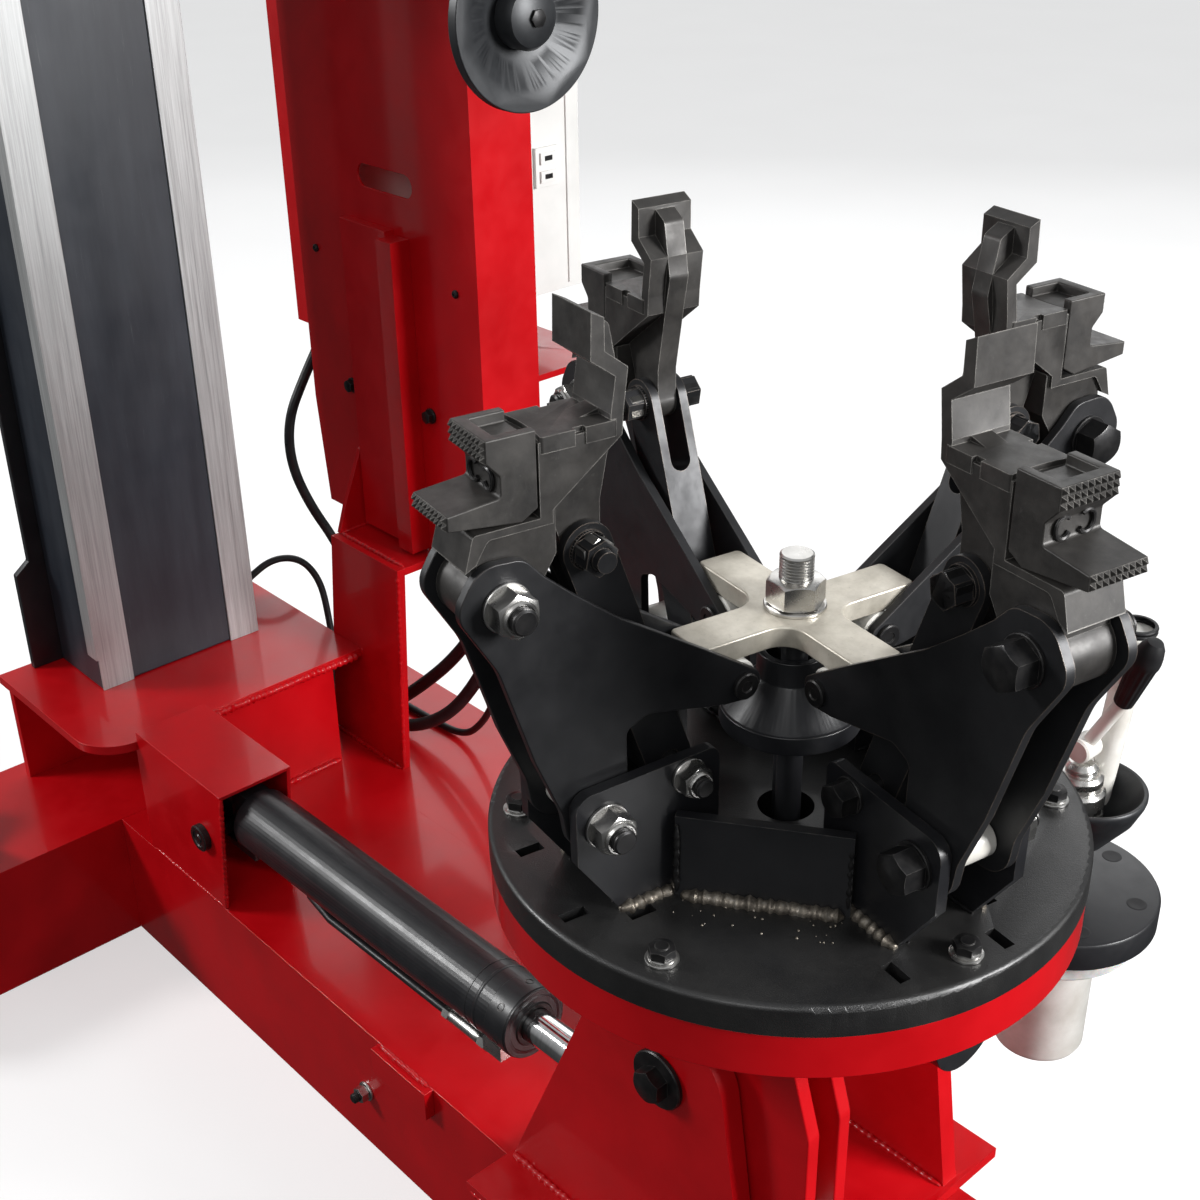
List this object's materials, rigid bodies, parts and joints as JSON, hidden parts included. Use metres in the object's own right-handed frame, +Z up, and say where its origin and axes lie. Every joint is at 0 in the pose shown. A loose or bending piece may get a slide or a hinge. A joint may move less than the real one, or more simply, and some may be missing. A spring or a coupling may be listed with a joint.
{
  "type": "truck tyre changer",
  "caption": "Electro-hydraulic truck tyre changer: a self-centring jaw chuck on a tilting frame, with a base beam, mast, tool boom and control tower.",
  "frame": {"origin": "on the floor under the chuck's axis", "axes": "+Z up, +X along the base beam from the mast towards and past the chuck, +Y to the control tower's side"},
  "size_m": [1.5371, 1.013, 1.7],
  "materials": {
    "black_paint": "semi-gloss black paint",
    "black_rubber": "black rubber grip",
    "black_steel": "black oxide fasteners",
    "blued_steel": "matt blue-black plate with rubbed edges",
    "chromed_rod": "hard chrome",
    "dish_black": "satin black",
    "forged_steel": "dark phosphated forging with worn edges",
    "grained_black": "fine-grained semi-gloss black powder coat",
    "hose_rubber": "smooth black hose cover",
    "red_knob": "glossy red plastic",
    "red_paint": "glossy red enamel, some orange peel and painted-over weld beads",
    "wear_steel": "bare slideway steel, scratched lengthwise",
    "white_cabinet": "white enamelled sheet",
    "white_roller": "white nylon",
    "zinc_plate": "pale zinc plating with worn edges",
    "zinc_steel": "bright zinc fasteners"
  },
  "bodies": {
    "root": {"base_frame": "red_paint", "cabinet_body": "white_cabinet", "cylinder_hood": "red_paint", "fixed_fittings": "black_steel", "hose_1": "hose_rubber", "hose_2": "hose_rubber", "hose_3": "hose_rubber", "hose_4": "hose_rubber", "hose_5": "hose_rubber", "mast": "black_paint", "mast_back_plate": "black_paint", "mast_foot": "red_paint", "oil_tank": "black_paint", "pivot_bracket": "red_paint", "pivot_pins": "black_steel", "support_brackets": "red_paint", "tower_shell": "red_paint", "wear_strips": "wear_steel"},
    "tilt_frame": {"tilt_frame": "red_paint", "ring_guard": "red_paint", "lever_pin": "black_steel", "drive_gearbox": "black_paint"},
    "tilt_rod": {"tilt_rod": "chromed_rod"},
    "tilt_barrel": {"tilt_barrel": "black_paint"},
    "chuck": {"chuck_disc": "grained_black", "disc_bolts": "zinc_steel", "spindle": "black_paint", "chuck_ears": "black_paint", "pivot_bolts": "zinc_steel", "pivot_rollers": "white_roller"},
    "clamp": {"cross_plate": "zinc_plate", "clamp_nut": "zinc_steel", "clamp_rods": "black_paint", "clamp_hub": "black_paint"},
    "cabinet_door": {"cabinet_door": "white_cabinet"},
    "switch_knob": {"switch_knob": "red_knob"},
    "carriage": {"carriage": "red_paint"},
    "tool_boom": {"tool_boom": "red_paint"},
    "bead_disc": {"bead_disc": "dish_black"},
    "hand_grip": {"hand_grip": "black_rubber"},
    "arm_1": {"arm_1_plates": "blued_steel", "arm_1_bolts": "zinc_steel"},
    "link_1": {"link_1": "blued_steel"},
    "jaw_1": {"jaw_1": "forged_steel", "pad_1": "forged_steel"},
    "arm_2": {"arm_2_plates": "blued_steel", "arm_2_bolts": "zinc_steel"},
    "link_2": {"link_2": "blued_steel"},
    "jaw_2": {"jaw_2": "forged_steel", "pad_2": "forged_steel"},
    "arm_3": {"arm_3_plates": "blued_steel", "arm_3_bolts": "zinc_steel"},
    "link_3": {"link_3": "blued_steel"},
    "jaw_3": {"jaw_3": "forged_steel", "pad_3": "forged_steel"},
    "arm_4": {"arm_4_plates": "blued_steel", "arm_4_bolts": "zinc_steel"},
    "link_4": {"link_4": "blued_steel"},
    "jaw_4": {"jaw_4": "forged_steel", "pad_4": "forged_steel"}
  },
  "joints": [
    {"name": "tilt", "type": "hinge", "parent": "root", "child": "tilt_frame", "pos_m": [0, 0, 0.433], "axis": [0, 1, 0], "range_deg": [0, 90]},
    {"name": "rod_eye", "type": "hinge", "parent": "tilt_frame", "child": "tilt_rod", "pos_m": [0.113, -0.098, 0.32], "axis": [0, 1, 0], "range_deg": [-90, 0]},
    {"name": "cylinder_stroke", "type": "slide", "parent": "tilt_rod", "child": "tilt_barrel", "axis": [0.9998, 0, 0.0203], "range_m": [0, 0.2262]},
    {"name": "chuck_spin", "type": "hinge", "parent": "tilt_frame", "child": "chuck", "pos_m": [0, 0, 0.642], "axis": [0, 0, 1], "continuous": true},
    {"name": "clamp_stroke", "type": "slide", "parent": "chuck", "child": "clamp", "axis": [0, 0, 1], "range_m": [-0.0425, 0.0405]},
    {"name": "arm_1_swing", "type": "hinge", "parent": "chuck", "child": "arm_1", "pos_m": [-0.03854, -0.19829, 0.725], "axis": [-0.9816, 0.1908, 0], "range_deg": [-17, 18]},
    {"name": "link_1_swing", "type": "hinge", "parent": "chuck", "child": "link_1", "pos_m": [-0.02461, -0.12663, 0.743], "axis": [-0.9816, 0.1908, 0], "range_deg": [-17, 18]},
    {"name": "jaw_1_level", "type": "hinge", "parent": "arm_1", "child": "jaw_1", "pos_m": [-0.05171, -0.26602, 0.923], "axis": [-0.9816, 0.1908, 0], "range_deg": [-18, 17]},
    {"name": "arm_2_swing", "type": "hinge", "parent": "chuck", "child": "arm_2", "pos_m": [0.19829, -0.03854, 0.725], "axis": [-0.1908, -0.9816, 0], "range_deg": [-17, 18]},
    {"name": "link_2_swing", "type": "hinge", "parent": "chuck", "child": "link_2", "pos_m": [0.12663, -0.02461, 0.743], "axis": [-0.1908, -0.9816, 0], "range_deg": [-17, 18]},
    {"name": "jaw_2_level", "type": "hinge", "parent": "arm_2", "child": "jaw_2", "pos_m": [0.26602, -0.05171, 0.923], "axis": [-0.1908, -0.9816, 0], "range_deg": [-18, 17]},
    {"name": "arm_3_swing", "type": "hinge", "parent": "chuck", "child": "arm_3", "pos_m": [0.03854, 0.19829, 0.725], "axis": [0.9816, -0.1908, 0], "range_deg": [-17, 18]},
    {"name": "link_3_swing", "type": "hinge", "parent": "chuck", "child": "link_3", "pos_m": [0.02461, 0.12663, 0.743], "axis": [0.9816, -0.1908, 0], "range_deg": [-17, 18]},
    {"name": "jaw_3_level", "type": "hinge", "parent": "arm_3", "child": "jaw_3", "pos_m": [0.05171, 0.26602, 0.923], "axis": [0.9816, -0.1908, 0], "range_deg": [-18, 17]},
    {"name": "arm_4_swing", "type": "hinge", "parent": "chuck", "child": "arm_4", "pos_m": [-0.19829, 0.03854, 0.725], "axis": [0.1908, 0.9816, 0], "range_deg": [-17, 18]},
    {"name": "link_4_swing", "type": "hinge", "parent": "chuck", "child": "link_4", "pos_m": [-0.12663, 0.02461, 0.743], "axis": [0.1908, 0.9816, 0], "range_deg": [-17, 18]},
    {"name": "jaw_4_level", "type": "hinge", "parent": "arm_4", "child": "jaw_4", "pos_m": [-0.26602, 0.05171, 0.923], "axis": [0.1908, 0.9816, 0], "range_deg": [-18, 17]},
    {"name": "mast_lift", "type": "slide", "parent": "root", "child": "carriage", "axis": [0, 0, 1], "range_m": [-0.01, 0.15]},
    {"name": "boom_reach", "type": "slide", "parent": "carriage", "child": "tool_boom", "axis": [1, 0, 0], "range_m": [-0.16, 0.2]},
    {"name": "bead_disc_spin", "type": "hinge", "parent": "tool_boom", "child": "bead_disc", "pos_m": [-0.31, 0, 1.242], "axis": [1, 0, 0], "continuous": true},
    {"name": "cabinet_door_swing", "type": "hinge", "parent": "root", "child": "cabinet_door", "pos_m": [-0.8, 0.352, 1.05], "axis": [0, 0, 1], "range_deg": [-75, 0]},
    {"name": "switch_turn", "type": "hinge", "parent": "cabinet_door", "child": "switch_knob", "pos_m": [-0.8, 0.422, 1.21], "axis": [1, 0, 0], "range_deg": [0, 90]},
    {"name": "hand_grip_swing", "type": "hinge", "parent": "root", "child": "hand_grip", "pos_m": [0.07, 0.35, 0.575], "axis": [0, 1, 0], "range_deg": [-20, 25]}
  ],
  "couplings": [
    {"joint": "rod_eye", "follows": "tilt", "ratio": -1},
    {"joint": "cylinder_stroke", "follows": "tilt", "m_per_rad": 0.1439},
    {"joint": "link_1_swing", "follows": "arm_1_swing", "ratio": 1},
    {"joint": "jaw_1_level", "follows": "arm_1_swing", "ratio": -1},
    {"joint": "arm_2_swing", "follows": "arm_1_swing", "ratio": 1},
    {"joint": "link_2_swing", "follows": "arm_1_swing", "ratio": 1},
    {"joint": "jaw_2_level", "follows": "arm_1_swing", "ratio": -1},
    {"joint": "arm_3_swing", "follows": "arm_1_swing", "ratio": 1},
    {"joint": "link_3_swing", "follows": "arm_1_swing", "ratio": 1},
    {"joint": "jaw_3_level", "follows": "arm_1_swing", "ratio": -1},
    {"joint": "arm_4_swing", "follows": "arm_1_swing", "ratio": 1},
    {"joint": "link_4_swing", "follows": "arm_1_swing", "ratio": 1},
    {"joint": "jaw_4_level", "follows": "arm_1_swing", "ratio": -1},
    {"joint": "clamp_stroke", "follows": "arm_1_swing", "m_per_rad": -0.132}
  ]
}
